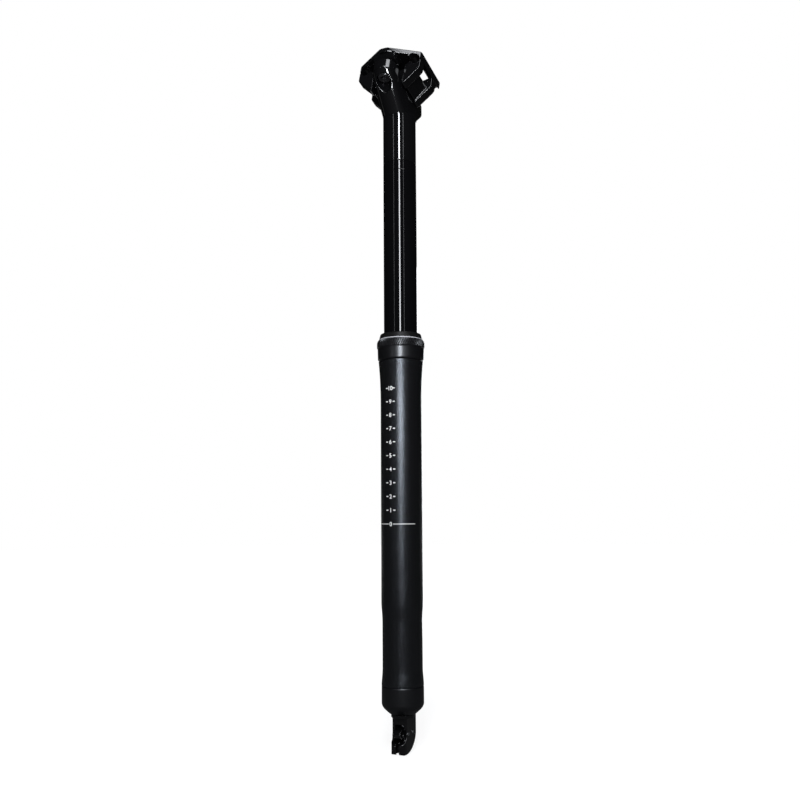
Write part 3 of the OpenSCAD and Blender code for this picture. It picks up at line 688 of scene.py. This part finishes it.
def band_radius(height):
    """The grip band is straight at first and then domes in towards the bright edge."""
    share = max(0.0, (height - DOME_START) / (BAND_HIGH - DOME_START))
    return BAND_RADIUS - DOME_DROP * share ** DOME_CURVE


collar_below = [(15.78, 122.00), (16.35, 122.00), (16.60, 122.10), (17.20, 122.85), (17.33, 123.05), (17.37, 123.35),
                (17.42, 124.5), (17.60, 130.9), (17.66, 131.4), (17.74, 131.7), (17.90, 131.95), (18.05, 132.15),
                (18.10, 132.30)]
band_heights = [BAND_LOW + (BAND_HIGH - BAND_LOW) * i / BAND_ROWS for i in range(BAND_ROWS + 1)]
collar_band = [(band_radius(height), height) for height in band_heights]
collar_above = [(17.15, 137.85), (16.62, 138.62), (16.40, 138.95), (16.32, 139.10), (15.75, 141.60), (15.55, 142.20),
                (15.25, 142.55), (14.95, 142.68), (13.95, 142.70), (13.85, 142.60), (13.85, 141.50), (15.08, 139.70),
                (15.08, 134.50), (15.78, 134.50)]
turned("seal_collar", collar_below + collar_band + collar_above, TURNED_FINISHES | {
    "Columns": 840, "Starts": 70, "Slant": 280.0, "Depth": 0.00055, "Groove width": 0.22, "Band low": 132.4 * MM,
    "Band high": 137.7 * MM, "Band radius": 17.1 * MM, "Edge low": 138.0 * MM, "Edge high": 138.7 * MM,
    "Edge radius": 16.2 * MM})

# %% [markdown]
# ## The end cap
# The cap closes the foot of the tube and is smooth outside, with a groove for its seal ring further in. It is turned
# on the same lathe, with the grip and the bright edge put where no point of it comes. Its rounded corners are bends
# with a start, a corner to head for and an end.

# %% Turn the end cap
OUT_OF_REACH = 1.0


def curve_through(start, corner, end, steps=8):
    """A smooth bend from start to end that heads for the corner on the way."""
    bend = []
    for t in (i / steps for i in range(steps + 1)):
        bend.append(tuple((1 - t) ** 2 * a + 2 * t * (1 - t) * b + t * t * c for a, b, c in zip(start, corner, end)))
    return bend


cap_profile = (
    [(4.02, -136.0), (9.3, -136.0)]
    + curve_through((9.5, -135.95), (10.0, -135.8), (10.6, -135.2), 4)
    + curve_through((12.7, -133.3), (15.40, -131.0), (15.40, -128.3))
    + [(15.40, -117.5)]
    + curve_through((15.40, -117.35), (15.40, -116.4), (14.45, -116.38))
    + [(13.38, -116.35), (13.38, -112.3), (12.2, -112.3), (12.2, -110.5), (13.38, -110.5), (13.38, -108.6),
       (12.8, -108.0), (4.02, -108.0)])
no_grip_or_edge = dict.fromkeys(
    ("Band low", "Band high", "Band radius", "Edge low", "Edge high", "Edge radius"), OUT_OF_REACH)
turned("bottom_cap", cap_profile, TURNED_FINISHES | no_grip_or_edge | {
    "Columns": 160, "Starts": 70, "Slant": 0.0, "Depth": 0.0, "Groove width": 0.26})

# %% [markdown]
# ## The printed scale
# The shank carries a scale in centimetres, so that a rider can set the same height again. Each mark is a number
# between two short dashes, and at zero a thin line runs part of the way round. The numbers start as text, become a
# flat mesh, and are then bent round the tube a hair above its surface.

# %% Flat numbers and bars
DIGIT_HEIGHT = 0.0031
DIGIT_SHARE = 0.72
DIGIT_SWELL = 0.00004


def flat_text(body, height):
    """Points and faces of a text, centred on its own height; digits fill only a share of a font's size."""
    curve = bpy.data.curves.new("digits", "FONT")
    curve.body = body
    curve.align_x = "CENTER"
    curve.align_y = "CENTER"
    curve.size = height / DIGIT_SHARE
    curve.offset = DIGIT_SWELL
    holder = bpy.data.objects.new("digits", curve)
    scene.collection.objects.link(holder)
    mesh = evaluated_mesh(holder)
    bpy.data.objects.remove(holder)
    points = [v.co.copy() for v in mesh.vertices]
    faces = [list(p.vertices) for p in mesh.polygons]
    bpy.data.meshes.remove(mesh)
    shift = -(min(p.y for p in points) + max(p.y for p in points)) / 2
    return [Vector((p.x, p.y + shift, 0.0)) for p in points], faces


def flat_bar(x0, x1, y0, y1, steps):
    """Points and faces of a bar, in steps along its length so that it can bend."""
    points = [Vector((x0 + (x1 - x0) * i / steps, y, 0.0)) for i in range(steps + 1) for y in (y0, y1)]
    faces = [[2 * i, 2 * i + 2, 2 * i + 3, 2 * i + 1] for i in range(steps)]
    return points, faces


print("digits", DIGIT_HEIGHT, "m high")

# %% Bend them round the tube
INK_LIFT = 0.00003
SCALE_TURN = math.radians(175.0)
SHANK_RADIUS = 0.0309 / 2
FLARE_LOW, FLARE_HIGH = 0.0880, 0.1215
FLARE_RADIUS = 0.0169
FLARE_CURVE = 2.25


def tube_radius(height):
    """Radius of the lower tube at a height: straight, then flared under the collar."""
    share = max(0.0, (height - FLARE_LOW) / (FLARE_HIGH - FLARE_LOW))
    return SHANK_RADIUS + (FLARE_RADIUS - SHANK_RADIUS) * share ** FLARE_CURVE


def wrapped(name, shapes):
    """Bends flat shapes round the post: x runs round the tube to the right, y runs up it."""
    mesh = bpy.data.meshes.new(name)
    points, faces = [], []
    for shape_points, shape_faces in shapes:
        first = len(points)
        for p in shape_points:
            radius = tube_radius(p.y) + INK_LIFT
            turn = SCALE_TURN + p.x / radius
            points.append((radius * math.cos(turn), radius * math.sin(turn), p.y))
        faces += [[first + i for i in face] for face in shape_faces]
    mesh.from_pydata(points, [], faces)
    mesh.update()
    return mesh


print("tube radius at the marks 0 and 10", tube_radius(0.0), round(tube_radius(0.1), 5))

# %% Print the scale
SCALE_STEP = 0.010
LAST_MARK = 10
DASH_START, DASH_END, DASH_THICK, DASH_STEPS = 0.00215, 0.00385, 0.0006, 6
ZERO_ROOM, LINE_THICK, LINE_STEPS = 0.0019, 0.0004, 30
LINE_END = math.radians(70.0) * SHANK_RADIUS

marks = []
for number in range(LAST_MARK + 1):
    height = number * SCALE_STEP
    points, faces = flat_text(str(number), DIGIT_HEIGHT)
    marks.append(([p + Vector((0.0, height, 0.0)) for p in points], faces))
    start, end, thick, steps = ((DASH_START, DASH_END, DASH_THICK, DASH_STEPS) if number
                                else (ZERO_ROOM, LINE_END, LINE_THICK, LINE_STEPS))
    for left, right in ((-end, -start), (start, end)):
        marks.append(flat_bar(left, right, height - thick / 2, height + thick / 2, steps))
scale_print = bpy.data.objects.new("scale_print", wrapped("scale_print", marks))
scene.collection.objects.link(scale_print)
scale_print.data.materials.append(FINISHES["white_ink"])
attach(scale_print, "lower_post")
print("scale marks", len(marks), "faces", len(scale_print.data.polygons))
